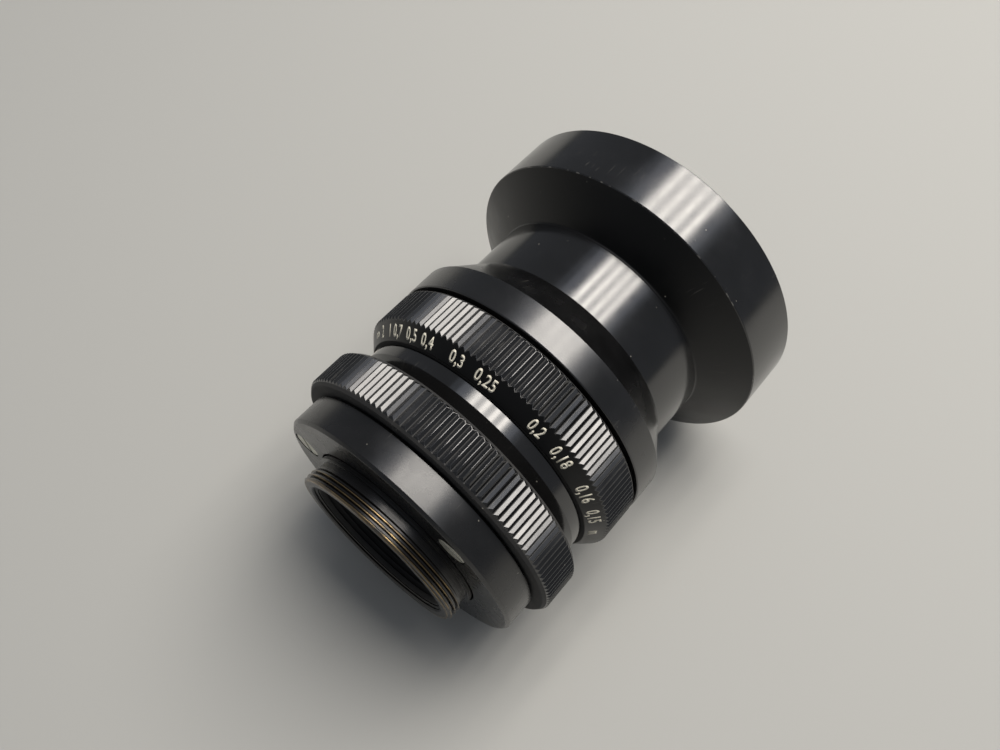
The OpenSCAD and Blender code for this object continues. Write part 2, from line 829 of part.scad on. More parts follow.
// Ring between the housing's step and the third glass
module spacer_ring() {
  inner = g4_r + free_gap;
  color(inner_black) tube(g3_r, inner, g4_z + seat_fit,
    g3_z - g3_t + sag(g3_back, inner) - glass_fit);
}

module element_4() {
  color(glass) lens_glass(g4_z, glass_4);
}

module fourth_retaining_ring() {
  inner = g4_r - 1.2;
  front = g4_z - glass_fit;
  spanner_ring(g4_r, inner, g4_z - sag(g4_front, inner) + glass_fit, front, front - 0.6, 0.8);
}

// Tube that carries the middle glasses and the iris, screwed into the web
module iris_housing() {
  seat_r = g4_r - 0.8;
  seat_z = g4_z - g4_t + sag(g4_back, seat_r) - glass_fit;
  floor_z = iris_z + floor_l;
  hollow_z = floor_z + 2;
  tube_r = g3_r + 1.6;
  tab_a = asin((arm_half_w + free_gap) / iris_bore_r);
  color(inner_black) difference() {
    turn_profile([
      [floor_r, iris_z],
      [iris_bore_r, iris_z],
      [iris_bore_r, housing_z],
      [iris_housing_r, housing_z],
      [iris_housing_r, web_z - seat_fit],
      [housing_spigot_r, web_z - seat_fit],
      [housing_spigot_r, web_front],
      [housing_spigot_r - 1.3, web_front],
      [housing_spigot_r - 1.3, hollow_z],
      [tube_r, hollow_z],
      [tube_r, web_front],
      [g3_r + seat_fit, web_front],
      [g3_r + seat_fit, g4_z],
      [g4_r + seat_fit, g4_z],
      [g4_r + seat_fit, seat_z],
      [seat_r, seat_z],
      [seat_r, floor_z + 0.6],
      [floor_r, floor_z]
    ]);
    arc_band(iris_housing_r + 1, iris_bore_r - 1, housing_z - 1, drive_ring_front + 0.15,
      drive_a - iris_turn - tab_a, drive_a + tab_a);
    each_blade() translate([pivot_r, 0, iris_z - 1])
      cylinder(h = pivot_hole_l + 1, r = blade_pin_r + run_fit / 2);
  }
}

// Plate behind the drive ring
module iris_cover() {
  color(inner_black) tube(iris_bore_r - seat_fit, floor_r + 0.6, cover_z, cover_front);
}

// Cell of the three rear glasses, screwed to the iris housing
module rear_cell() {
  bore = g5_r + seat_fit;
  clear_r = hollow_5 + 0.1;
  wall = 2;
  step_z = housing_z - 1.5;
  color(inner_black) turn_profile([
    [clear_r, cover_z - seat_fit],
    [iris_bore_r - seat_fit, cover_z - seat_fit],
    [iris_bore_r - seat_fit, housing_z - seat_fit],
    [iris_housing_r, housing_z - seat_fit],
    [iris_housing_r, step_z],
    [bore + wall, step_z],
    [bore + wall, rear_cell_z],
    [bore, rear_cell_z],
    [bore, g5_rim + glass_fit],
    [clear_r, g5_rim + glass_fit]
  ]);
}

module element_5() {
  color(glass) lens_glass(g5_z, glass_5, front_clear = hollow_5, back_clear = g5_r);
}

module element_6() {
  color(glass) lens_glass(g6_z, glass_6);
}

// Ring between the sixth and the seventh glass
module rear_spacer() {
  inner = g7_r - 0.8;
  color(inner_black) tube(g7_r, inner, g7_z - sag(g7_front, inner) + glass_fit,
    g6_z - g6_t + sag(g6_back, inner) - glass_fit);
}

module element_7() {
  color(glass) lens_glass(g7_z, glass_7);
}

module rear_retaining_ring() {
  inner = g7_r - 0.9;
  front = g7_z - g7_t + sag(g7_back, inner) - glass_fit;
  spanner_ring(g7_r, inner, rear_cell_z, front, rear_cell_z - 0.8);
}

// ---- Iris ----

// Places children at each blade's pivot angle
module each_blade() {
  for (i = [0:blade_count - 1]) lathe() rotate([0, 0, i * 360 / blade_count]) children();
}

// One cam slot, swept by the path of a blade's pin over the whole turn
module cam_slot(l) {
  half = blade_pin_r + cam_clear;
  steps = 14;
  path = [for (i = [0:steps]) cam_point(iris_turn * i / steps)];
  side = [for (i = [0:steps])
    let (d = path[min(i + 1, steps)] - path[max(i - 1, 0)]) half * [-d[1], d[0]] / norm(d)];
  outline = concat([for (i = [0:steps]) path[i] + side[i]],
    [for (i = [steps:-1:0]) path[i] - side[i]]);
  linear_extrude(l) polygon(outline);
  for (p = [path[0], path[steps]]) translate([p[0], p[1], 0]) cylinder(h = l, r = half);
}

// Ring with the cam slots, and the arm whose fork takes the drive pin
module iris_drive_ring() {
  fork_w = drive_pin_r + run_fit / 2;
  tab_a = asin(arm_half_w / arm_r);
  color(steel) difference() {
    union() {
      tube(drive_ring_r, floor_r + 0.8, drive_ring_z, drive_ring_front);
      arc_band(arm_r + arm_wall, drive_ring_r - 0.3, drive_ring_z, drive_ring_front,
        drive_a - tab_a, drive_a + tab_a);
      arc_band(arm_r + arm_wall, arm_r, arm_z, drive_ring_front,
        drive_a - tab_a, drive_a + tab_a);
    }
    each_blade() translate([0, 0, drive_ring_z - 1]) cam_slot(drive_ring_l + 2);
    radial_block(2 * fork_w, arm_r - 0.15, arm_r + arm_wall + 1, drive_a, arm_z - 1,
      drive_z + drive_pin_r + 1.5);
  }
}

// Thin crescent with a pivot pin to the housing and a cam pin to the drive ring
module iris_blade(i) {
  top = iris_z - ring_gap - i * blade_step;
  bottom = top - blade_t;
  cam = cam_point(0);
  color(steel) lathe() rotate([0, 0, i * 360 / blade_count]) union() {
    rotate([0, 0, -cam_a - tail_a]) rotate_extrude(angle = blade_span + cam_a + tail_a)
      translate([open_r, bottom]) square([blade_outer_r - open_r, blade_t]);
    for (p = [[pivot_r, 0], cam]) {
      translate([p[0], p[1], bottom]) cylinder(h = blade_t, r = ear_r);
      rotate([0, 0, atan2(p[1], p[0])]) translate([blade_outer_r - 1, -ear_r, bottom])
        cube([pivot_r - blade_outer_r + 1, 2 * ear_r, blade_t]);
    }
    translate([pivot_r, 0, bottom])
      cylinder(h = iris_z + pivot_hole_l - 0.2 - bottom, r = blade_pin_r);
    translate([cam[0], cam[1], drive_ring_z + ring_gap])
      cylinder(h = top - drive_ring_z - ring_gap, r = blade_pin_r);
  }
}

module iris_blade_1() { iris_blade(0); }
module iris_blade_2() { iris_blade(1); }
module iris_blade_3() { iris_blade(2); }
module iris_blade_4() { iris_blade(3); }
module iris_blade_5() { iris_blade(4); }
module iris_blade_6() { iris_blade(5); }

mount_thread();
mount_flange();
flange_screws();
rear_baffle();
main_barrel();
index_ring();
focus_retaining_ring();
guide_keys();
click_ball();
click_spring();
aperture_ring();
aperture_drive_pin();
focus_ring();
focus_stop_pin();
front_barrel();
hood();
front_cell();
front_retaining_ring();
element_1();
element_2();
second_retaining_ring();
element_3();
middle_retaining_ring();
spacer_ring();
element_4();
fourth_retaining_ring();
iris_housing();
iris_cover();
rear_cell();
element_5();
element_6();
rear_spacer();
element_7();
rear_retaining_ring();
iris_drive_ring();
iris_blade_1();
iris_blade_2();
iris_blade_3();
iris_blade_4();
iris_blade_5();
iris_blade_6();
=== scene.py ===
"""Looks for a black wide-angle screw-mount lens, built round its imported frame."""
import math

import bpy
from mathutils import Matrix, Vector


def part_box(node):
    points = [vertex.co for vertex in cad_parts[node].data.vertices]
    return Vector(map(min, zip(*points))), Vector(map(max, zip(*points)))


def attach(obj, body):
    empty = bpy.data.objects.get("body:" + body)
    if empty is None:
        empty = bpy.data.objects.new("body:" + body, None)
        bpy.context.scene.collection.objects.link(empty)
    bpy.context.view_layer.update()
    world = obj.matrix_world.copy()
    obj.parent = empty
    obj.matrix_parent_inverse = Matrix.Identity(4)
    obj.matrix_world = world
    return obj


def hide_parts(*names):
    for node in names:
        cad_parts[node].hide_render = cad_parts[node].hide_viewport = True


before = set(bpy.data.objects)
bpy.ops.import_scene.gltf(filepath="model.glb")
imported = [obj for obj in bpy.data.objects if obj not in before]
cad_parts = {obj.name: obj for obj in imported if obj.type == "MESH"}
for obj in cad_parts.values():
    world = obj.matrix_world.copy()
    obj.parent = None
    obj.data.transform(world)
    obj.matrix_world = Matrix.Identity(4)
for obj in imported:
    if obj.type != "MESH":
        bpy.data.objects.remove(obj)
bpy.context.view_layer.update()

MM = 0.001

# ---- Camera ----

CAMERA_PLACE = Vector((49.7, -26.4, 161.3)) * MM
CAMERA_AIM = Vector((-0.309, 0.358, -0.881))
bpy.ops.object.camera_add(location=CAMERA_PLACE,
                          rotation=CAMERA_AIM.to_track_quat("-Z", "Y").to_euler())
camera = bpy.context.object
camera.data.sensor_width = 36
camera.data.lens = 30.6
camera.data.clip_start = 0.005
bpy.context.scene.camera = camera
bpy.context.scene.view_settings.view_transform = "Standard"

# ---- Sizes in millimetres: y runs along the lens, from its screw thread to its hood ----


def reach(node):
    """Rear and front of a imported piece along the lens, and its outer radius, in millimetres."""
    low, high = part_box(node)
    return low.y / MM, high.y / MM, max(high.x, high.z) / MM


thread_rear, _, shoulder_r = reach("mount_thread")
_, flange_front, flange_r = reach("mount_flange")
baffle_rear, baffle_front, baffle_r = reach("rear_baffle")
aperture_rear, aperture_front, _ = reach("aperture_ring")
index_rear, index_front, index_r = reach("index_ring")
focus_rear, focus_front, _ = reach("focus_ring")
barrel_rear, neck_front, grip_r = reach("front_barrel")
sleeve_rear, hood_front, hood_r = reach("hood")

FIT = 0.03                          # play between turned pieces
KNURLS = 136                        # teeth round a grip
KNURL_DEPTH = 0.53
GRIP_SIDES = 2 * KNURLS             # a crest and a root for each tooth
THREAD_R = 19.5
THREAD_PITCH = 1.0
THREAD_FRONT = -2.6
ROOT_R = THREAD_R - 0.6
FOOT_R = 18.5                       # the screw tube inside the flange
BARREL_R = 25.1                     # bore of the grips and of the front tube
SCALE_R = 28.7                      # rear edge of the distance scale
SKIRT_R = 28.5                      # the front tube under the focus grip
NECK_R = 26.8
HOOD_THREAD_R = 25.5
CELL_R = 24.0
HOUSING_R = 18.6
BAND_REAR = focus_front + 0.7       # the front tube's smooth band
BAND_FRONT = BAND_REAR + 6.5
CONE_FRONT = BAND_FRONT + 7.5
RIM_REAR = neck_front + 5.9         # where the hood's cone meets its rim

# ---- Modelling ----

WELD = 0.0005 * MM                  # points closer than this are one point
SMOOTH_ANGLE = math.radians(30)


def deselect():
    if bpy.context.object and bpy.context.object.mode != "OBJECT":
        bpy.ops.object.mode_set(mode="OBJECT")
    bpy.ops.object.select_all(action="DESELECT")


def only(piece):
    """Makes piece the one selected and active object."""
    deselect()
    piece.select_set(True)
    bpy.context.view_layer.objects.active = piece


def around(radius, y, angle):
    """The point at radius and y millimetres, angle degrees from the top of the lens towards +X."""
    turn = math.radians(angle)
    return Vector((radius * math.sin(turn), y, radius * math.cos(turn))) * MM


def soften(piece, width, angle=25, segments=2):
    """Breaks the piece's sharp edges, as a deburring pass does, and shades it smooth between."""
    only(piece)
    bpy.ops.object.modifier_add(type="BEVEL")
    bevel = piece.modifiers[-1]
    bevel.width = width * MM
    bevel.segments = segments
    bevel.limit_method = "ANGLE"
    bevel.angle_limit = math.radians(angle)
    bpy.ops.object.modifier_apply(modifier=bevel.name)
    bpy.ops.object.shade_smooth_by_angle(angle=SMOOTH_ANGLE)


def traced(name, outline):
    """A closed wire through the (radius, y) points of outline, selected and in edit mode."""
    deselect()
    bpy.ops.mesh.primitive_plane_add(size=MM)
    piece = bpy.context.object
    piece.name = name
    bpy.ops.object.mode_set(mode="EDIT")
    bpy.ops.mesh.select_mode(type="VERT")
    bpy.ops.mesh.merge(type="CENTER")
    last_radius, last_y = 0, 0
    for step, (radius, y) in enumerate(outline + outline[:1]):
        move = (0, (y - last_y) * MM, (radius - last_radius) * MM)
        if step == 0:
            bpy.ops.transform.translate(value=move)
        else:
            bpy.ops.mesh.extrude_vertices_move(TRANSFORM_OT_translate={"value": move})
        last_radius, last_y = radius, y
    bpy.ops.mesh.select_all(action="SELECT")
    return piece


def turned(name, outline, sides=256, edge=0.05):
    """A piece off the lathe: its (radius, y) outline in millimetres, spun round the lens axis."""
    piece = traced(name, outline)
    bpy.ops.mesh.spin(steps=sides, angle=2 * math.pi, center=(0, 0, 0), axis=(0, 1, 0))
    bpy.ops.mesh.select_all(action="SELECT")
    bpy.ops.mesh.remove_doubles(threshold=WELD)
    bpy.ops.mesh.normals_make_consistent(inside=False)
    bpy.ops.object.mode_set(mode="OBJECT")
    if edge:
        soften(piece, edge)
    else:
        bpy.ops.object.shade_smooth_by_angle(angle=SMOOTH_ANGLE)
    return piece


def saw_teeth(foot, tip, start, pitch, count):
    """Outline of a stray-light baffle: count saw teeth from start on, between two radii."""
    teeth = []
    for number in range(count):
        teeth += [(foot, start + pitch * number), (tip, start + pitch * (number + 0.85))]
    return teeth


def carve(piece, cutter, operation="DIFFERENCE"):
    """Cuts cutter out of piece, joins it on or keeps what they share, and removes the cutter."""
    only(piece)
    bpy.ops.object.modifier_add(type="BOOLEAN")
    modifier = piece.modifiers[-1]
    modifier.operation = operation
    modifier.solver = "EXACT"
    modifier.object = cutter
    bpy.ops.object.modifier_apply(modifier=modifier.name)
    bpy.data.objects.remove(cutter, do_unlink=True)
    bpy.ops.object.shade_smooth_by_angle(angle=SMOOTH_ANGLE)


def block(width, length, depth, radius, y, angle):
    """A block, width round the lens, length along it and depth along the radius."""
    deselect()
    bpy.ops.mesh.primitive_cube_add(size=1, location=around(radius, y, angle),
                                    rotation=(0, math.radians(angle), 0))
    piece = bpy.context.object
    piece.scale = (width * MM, length * MM, depth * MM)
    bpy.ops.object.transform_apply()
    return piece


def stub(radius, length, place):
    """A short round bar along the lens, its middle at place."""
    deselect()
    bpy.ops.mesh.primitive_cylinder_add(vertices=64, radius=radius * MM, depth=length * MM,
                                        location=place, rotation=(math.pi / 2, 0, 0))
    bpy.ops.object.transform_apply()
    return bpy.context.object


def pick(piece, wanted):
    """Enters edit mode with just the points selected for which wanted(place) holds, in mm."""
    only(piece)
    bpy.ops.object.mode_set(mode="EDIT")
    bpy.ops.mesh.select_mode(type="VERT")
    bpy.ops.mesh.select_all(action="DESELECT")
    bpy.ops.object.mode_set(mode="OBJECT")
    for vertex in piece.data.vertices:
        vertex.select = wanted(vertex.co / MM)
    bpy.ops.object.mode_set(mode="EDIT")


def knurl(piece, rear, front):
    """Cuts straight teeth round a grip: lets every second point of its two outer loops down
    to the root of the knurl, along the end chamfers, and breaks the edges."""
    shrink = (grip_r - KNURL_DEPTH) / grip_r
    for y, way in ((rear, -1), (front, 1)):

        def at_root(place):
            number = round(math.degrees(math.atan2(place.x, place.z)) * KNURLS / 180)
            radius = math.hypot(place.x, place.z)
            return abs(place.y - y) < 0.01 and abs(radius - grip_r) < 0.02 and number % 2 == 1

        pick(piece, at_root)
        bpy.ops.transform.resize(value=(shrink, 1, shrink), center_override=(0, y * MM, 0))
        bpy.ops.transform.translate(value=(0, way * KNURL_DEPTH * MM, 0))
        bpy.ops.object.mode_set(mode="OBJECT")
    soften(piece, 0.07, 25, 1)


PAINT_PROUD = 0.02
PAINT_DEPTH = 0.04
LINE_DEPTH = 0.06
FIGURE_SHARE = 0.73                 # height of a figure against the type's size
FIGURE_WIDTH = 0.72                 # width of a figure against the type's own


def figure(words, height, radius, y, angle, lean, wall, turn=0):
    """Figures height millimetres tall, wrapped on wall and standing a little proud of it.
    lean is the slope of the wall, in degrees, and turn turns the figures on it."""
    deselect()
    bpy.ops.object.text_add(location=around(radius, y, angle))
    text = bpy.context.object
    text.rotation_mode = "ZXY"
    text.rotation_euler = [math.radians(part) for part in (lean, angle, turn)]
    text.data.body = words
    text.data.align_x = "CENTER"
    text.data.align_y = "CENTER"
    text.data.size = height / FIGURE_SHARE * MM
    text.data.offset = 0.03 * height * MM
    text.data.space_character = 1.12
    text.scale = (FIGURE_WIDTH, 1, 1)
    bpy.ops.object.convert(target="MESH")
    bpy.ops.object.transform_apply()
    bpy.ops.object.modifier_add(type="SHRINKWRAP")
    wrap = text.modifiers[-1]
    wrap.target = wall
    wrap.wrap_method = "NEAREST_SURFACEPOINT"
    wrap.wrap_mode = "ABOVE_SURFACE"
    wrap.offset = PAINT_PROUD * MM
    bpy.ops.object.modifier_apply(modifier=wrap.name)
    bpy.ops.object.modifier_add(type="SOLIDIFY")
    fill = text.modifiers[-1]
    fill.thickness = PAINT_DEPTH * MM
    fill.offset = -1
    bpy.ops.object.modifier_apply(modifier=fill.name)
    return text


def painted_line(width, length, radius, y, angle):
    """A filled line along the lens, standing a little proud of the wall at radius."""
    return block(width, length, LINE_DEPTH, radius + PAINT_PROUD - LINE_DEPTH / 2, y, angle)


def joined(name, pieces):
    """One piece made of all the pieces."""
    deselect()
    for piece in pieces:
        piece.select_set(True)
    bpy.context.view_layer.objects.active = pieces[0]
    bpy.ops.object.join()
    pieces[0].name = name
    pieces[0].data.name = name
    return pieces[0]


def dress(piece, body, slot, material, *nodes):
    """Gives the piece flat faces between its broken edges, its finish and its place."""
    only(piece)
    bpy.ops.object.modifier_add(type="WEIGHTED_NORMAL")
    modifier = piece.modifiers[-1]
    modifier.keep_sharp = True
    modifier.weight = 100
    bpy.ops.object.modifier_apply(modifier=modifier.name)
    piece.data.materials.clear()
    piece.data.materials.append(material)
    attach(piece, body)
    if nodes:
        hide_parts(*nodes)
    return piece


def second_finish(piece, material, wanted):
    """Gives a second finish to the faces whose middle, at a radius and y, is wanted."""
    piece.data.materials.append(material)
    for face in piece.data.polygons:
        middle = face.center / MM
        if wanted(math.hypot(middle.x, middle.z), middle.y):
            face.material_index = 1


# ---- Finishes ----

# sockets of a mix node: its two colours and their mix, and its two plain numbers
COLOUR_A, COLOUR_B, MIXED = 6, 7, 2
NUMBER_A, NUMBER_B = 2, 3


def linear(code):
    """An sRGB hex colour as linear red, green, blue and alpha."""
    parts = [int(code[i:i + 2], 16) / 255 for i in (1, 3, 5)]
    return tuple(p / 12.92 if p <= 0.04045 else ((p + 0.055) / 1.055) ** 2.4
                 for p in parts) + (1,)


def add(tree, kind, inputs=None, **settings):
    """Adds a node with its settings, and gives each input a value or a link."""
    node = tree.nodes.new("ShaderNode" + kind)
    for key, value in settings.items():
        setattr(node, key, value)
    for key, value in (inputs or {}).items():
        if isinstance(value, bpy.types.NodeSocket):
            tree.links.new(value, node.inputs[key])
        else:
            node.inputs[key].default_value = value
    return node


def clouds(tree, place, size, detail):
    """A soft noise over place, size millimetres from patch to patch."""
    return add(tree, "TexNoise", {"Vector": place, "Scale": 1 / (size * MM),
                                  "Detail": detail}).outputs["Fac"]


def ramp(tree, value, low, high, low_to=0.0, high_to=1.0):
    """Takes value from the range low to high into the range low_to to high_to."""
    return add(tree, "MapRange", {"Value": value, "From Min": low, "From Max": high,
                                  "To Min": low_to, "To Max": high_to}).outputs[0]


def maths(tree, operation, *values):
    """The operation on one, two or three numbers."""
    return add(tree, "Math", dict(enumerate(values)), operation=operation).outputs[0]


def mixed(tree, share, first, second):
    """One colour fading into another."""
    return add(tree, "Mix", {0: share, COLOUR_A: first, COLOUR_B: second},
               data_type="RGBA").outputs[MIXED]


def bumps(tree, height, depth):
    """Relief depth millimetres deep."""
    return add(tree, "Bump", {"Height": height, "Distance": depth * MM}).outputs[0]


def blank(name):
    """A new material with its principled shader."""
    material = bpy.data.materials.new(name)
    material.use_nodes = True
    tree = material.node_tree
    tree.nodes.clear()
    shader = add(tree, "BsdfPrincipled")
    add(tree, "OutputMaterial", {"Surface": shader.outputs[0]})
    return material, tree, shader


def drive(tree, shader, **sockets):
    """Links or sets sockets of the shader, with _ for the spaces in their names."""
    for key, value in sockets.items():
        socket = shader.inputs[key.replace("_", " ")]
        if isinstance(value, bpy.types.NodeSocket):
            tree.links.new(value, socket)
        else:
            socket.default_value = value


def lathe_marks(tree, pitch):
    """Object coordinates, radius, y and a noise of fine rings about pitch millimetres apart."""
    place = add(tree, "TexCoord").outputs["Object"]
    flat = add(tree, "VectorMath", {0: place, 1: (1, 0, 1)}, operation="MULTIPLY").outputs[0]
    radius = add(tree, "VectorMath", {0: flat}, operation="LENGTH").outputs["Value"]
    y = add(tree, "SeparateXYZ", {0: place}).outputs["Y"]
    profile = add(tree, "CombineXYZ", {"X": radius, "Y": y}).outputs[0]
    return place, radius, y, clouds(tree, profile, pitch, 2.0)


def black_anodised(name, dark, pale, roughness, marks, dust, ior,
                   groove=None, satin_to=None, worn=None):
    """Aluminium turned, then anodised black: a hard skin over fine rings from the lathe, with
    dust and a few scuffs on it. dark and pale are its two tones, marks is the depth of the
    rings in millimetres, dust the share of dusty cells, and ior runs from 1.42 for a dull skin
    to 1.85 for one that shines more than glass. Dirt gathers below the radius groove, and the
    finish is duller up to the place satin_to along the lens. At the place worn an edge is painted
    pale in short lengths: partly bare metal where it has rubbed through, partly a painted glint."""
    material, tree, shader = blank(name)
    place, radius, y, rings = lathe_marks(tree, 0.35)
    smudge = clouds(tree, place, 7, 3.0)
    grain = clouds(tree, place, 0.6, 1.0)
    colour = mixed(tree, ramp(tree, smudge, 0.35, 0.7), linear(dark), linear(pale))
    rough = ramp(tree, smudge, 0.3, 0.7, roughness - 0.04, roughness + 0.05)
    if groove:
        low = ramp(tree, radius, (groove + 0.1) * MM, (groove + 0.04) * MM)
        dirt = maths(tree, "MULTIPLY", low, ramp(tree, smudge, 0.45, 0.62, high_to=0.25))
        colour = mixed(tree, dirt, colour, linear("#3b3832"))
        rough = add(tree, "Mix", {0: low, NUMBER_A: rough, NUMBER_B: 0.8}).outputs[0]

    # specks of dust a few to the square centimetre, drawn 0.3 mm across so that they show
    cell = add(tree, "TexVoronoi", {"Vector": place, "Scale": 1 / (2.4 * MM)})
    speck = ramp(tree, cell.outputs["Distance"], 0.075, 0.045)
    chance = add(tree, "SeparateColor", {0: cell.outputs["Color"]}).outputs[0]
    fleck = maths(tree, "MULTIPLY", speck, ramp(tree, chance, 1 - dust, 1 - dust * 0.8))
    colour = mixed(tree, fleck, colour, linear("#8f8b82"))

    # scuffs: hairlines about 3 mm long in a few small patches, drawn 0.15 mm wide so that
    # they show, laid out on the skin as it would unroll, aslant to the lens
    side = add(tree, "SeparateXYZ", {0: place})
    turn = maths(tree, "ARCTAN2", side.outputs["X"], side.outputs["Z"])
    girth = maths(tree, "MULTIPLY", turn, 28 * MM)
    length = maths(tree, "MULTIPLY_ADD", radius, 0.5, y)
    skin = add(tree, "CombineXYZ", {"X": girth, "Y": length}).outputs[0]
    skin = add(tree, "Mapping", {"Vector": skin, "Rotation": (0, 0, 0.6),
                                 "Scale": (1 / (0.3 * MM), 1 / (5 * MM), 1)}).outputs[0]
    hair = add(tree, "TexNoise", {"Vector": skin, "Scale": 1.0, "Detail": 0.0}).outputs["Fac"]
    scuff = maths(tree, "MULTIPLY", ramp(tree, hair, 0.72, 0.8),
                  ramp(tree, smudge, 0.58, 0.66, high_to=0.45))
    colour = mixed(tree, scuff, colour, linear("#5e5c57"))

    # a pale line painted in short lengths along the edge at worn: partly metal rubbed bare, partly
    # a painted glint of light
    if worn:
        off = maths(tree, "ABSOLUTE", maths(tree, "SUBTRACT", y, worn * MM))
        edge = ramp(tree, off, 0.11 * MM, 0.05 * MM)
        chips_and_glint = ramp(tree, clouds(tree, place, 1.6, 4.0), 0.54, 0.64, high_to=0.8)
        colour = mixed(tree, maths(tree, "MULTIPLY", edge, chips_and_glint), colour, linear("#7b7974"))
    if satin_to:
        duller = ramp(tree, y, (satin_to + 0.1) * MM, satin_to * MM, high_to=0.09)
        rough = maths(tree, "ADD", rough, duller)
    height = maths(tree, "MULTIPLY_ADD", grain, 0.12, rings)
    drive(tree, shader, Base_Color=colour, Roughness=rough, IOR=ior,
          Normal=bumps(tree, height, marks))
    return material


def worn_thread(name):
    """Brass, blackened and then worn bright on the thread's crests and on its rear edge; the
    grooves keep the black and some grease."""
    material, tree, shader = blank(name)
    place, radius, y, rings = lathe_marks(tree, 0.2)
    patches = clouds(tree, place, 2.5, 4.0)
    crest = ramp(tree, radius, (THREAD_R - 0.2) * MM, (THREAD_R - 0.03) * MM)
    lip = maths(tree, "MULTIPLY",
                ramp(tree, y, (thread_rear + 0.2) * MM, (thread_rear + 0.05) * MM),
                ramp(tree, radius, (ROOT_R - 0.4) * MM, (ROOT_R - 0.2) * MM))
    thread_only = ramp(tree, y, (THREAD_FRONT + 0.4) * MM, THREAD_FRONT * MM)
    worn = maths(tree, "MAXIMUM", crest, lip)
    worn = maths(tree, "MULTIPLY", worn, ramp(tree, patches, 0.3, 0.55))
    worn = maths(tree, "MULTIPLY", worn, thread_only)
    drive(tree, shader, Base_Color=mixed(tree, worn, linear("#0f0d0b"), linear("#857354")),
          Metallic=worn, Roughness=ramp(tree, rings, 0.0, 1.0, 0.16, 0.34),
          Normal=bumps(tree, patches, 0.004))
    return material


def matt_black(name):
    """Optical black inside the tubes: a dead flat anodising that swallows light, with a
    little pale dust."""
    material, tree, shader = blank(name)
    place, _, _, rings = lathe_marks(tree, 0.3)
    dusty = ramp(tree, clouds(tree, place, 3, 4.0), 0.4, 0.75)
    drive(tree, shader, Base_Color=mixed(tree, dusty, linear("#0d0d0d"), linear("#191918")),
          Roughness=0.72, Normal=bumps(tree, rings, 0.006))
    return material


def metal(name, dark, pale, roughness, pitch):
    """Bare metal with turned or ground marks: bright, with a soft line of light across them."""
    material, tree, shader = blank(name)
    place, _, _, rings = lathe_marks(tree, pitch)
    cloudy = ramp(tree, clouds(tree, place, 1.5, 3.0), 0.35, 0.65)
    drive(tree, shader, Base_Color=mixed(tree, cloudy, linear(dark), linear(pale)),
          Metallic=1.0, Roughness=ramp(tree, rings, 0.0, 1.0, roughness - 0.06, roughness + 0.1),
          Normal=bumps(tree, rings, 0.004))
    return material


def coated_glass(name):
    """Optical glass, IOR 1.62, polished, with a single-layer coating that turns its
    reflections blue to violet."""
    material, tree, shader = blank(name)
    place = add(tree, "TexCoord").outputs["Object"]
    film = clouds(tree, place, 9, 1.0)
    drive(tree, shader, Specular_Tint=mixed(tree, film, linear("#8fb0ea"), linear("#a9a2e8")),
          Base_Color=linear("#fbfdfb"), Roughness=0.0, Transmission_Weight=1.0, IOR=1.62)
    return material


def cream_paint(name):
    """Cream enamel wiped into engraved figures: matt, a little yellowed, slightly uneven."""
    material, tree, shader = blank(name)
    place = add(tree, "TexCoord").outputs["Object"]
    uneven = clouds(tree, place, 0.5, 2.0)
    drive(tree, shader, Base_Color=mixed(tree, uneven, linear("#ebe4cb"), linear("#fcf8ea")),
          Roughness=0.6, Normal=bumps(tree, uneven, 0.01))
    return material


# the fixed pieces: a soft sheen
satin = black_anodised("black_anodised_aluminium_satin", "#090909", "#0f0f10",
                       roughness=0.27, marks=0.0015, dust=0.25, ior=1.7)
# the front tube: a satin band and cone, and a glossier neck
smooth = black_anodised("black_anodised_aluminium_smooth", "#080808", "#0d0d0e",
                        roughness=0.15, marks=0.002, dust=0.15, ior=1.85, satin_to=CONE_FRONT)
# the index band: the glossiest
bright = black_anodised("black_anodised_aluminium_bright", "#080808", "#0d0d0e",
                        roughness=0.12, marks=0.001, dust=0.15, ior=1.85)
# the grips: teeth whose flanks flash one by one, with dirt in the grooves
grip = black_anodised("black_anodised_aluminium_knurled", "#080808", "#0d0d0e",
                      roughness=0.17, marks=0.0003, dust=0.2, ior=1.85,
                      groove=grip_r - KNURL_DEPTH)
# the hood's rim: glossy, its rear edge painted pale in short lengths, partly chips of bare metal
# and partly a painted glint
hood_black = black_anodised("black_anodised_aluminium_hood", "#070707", "#0c0c0d",
                            roughness=0.16, marks=0.0015, dust=0.35, ior=1.85,
                            worn=RIM_REAR + 0.08)
# the distance scale, and the hood's cone and inside: the deepest black
deep_black = black_anodised("black_anodised_aluminium_deep", "#050505", "#090909",
                            roughness=0.32, marks=0.002, dust=0.25, ior=1.42)
brass = worn_thread("blackened_brass_worn")
matt = matt_black("matt_black_anodised")
steel = metal("turned_steel", "#b0b1b0", "#cfcfcc", roughness=0.32, pitch=0.15)
screw_steel = metal("nickel_plated_steel_dulled", "#c3c2b8", "#deddd4", roughness=0.5, pitch=0.2)
blued = metal("blued_steel_iris", "#1b1e24", "#2b2f37", roughness=0.38, pitch=0.2)
glass = coated_glass("coated_optical_glass")
paint = cream_paint("cream_enamel")

# ---- Rear: screw tube, flange, screws, baffle ----

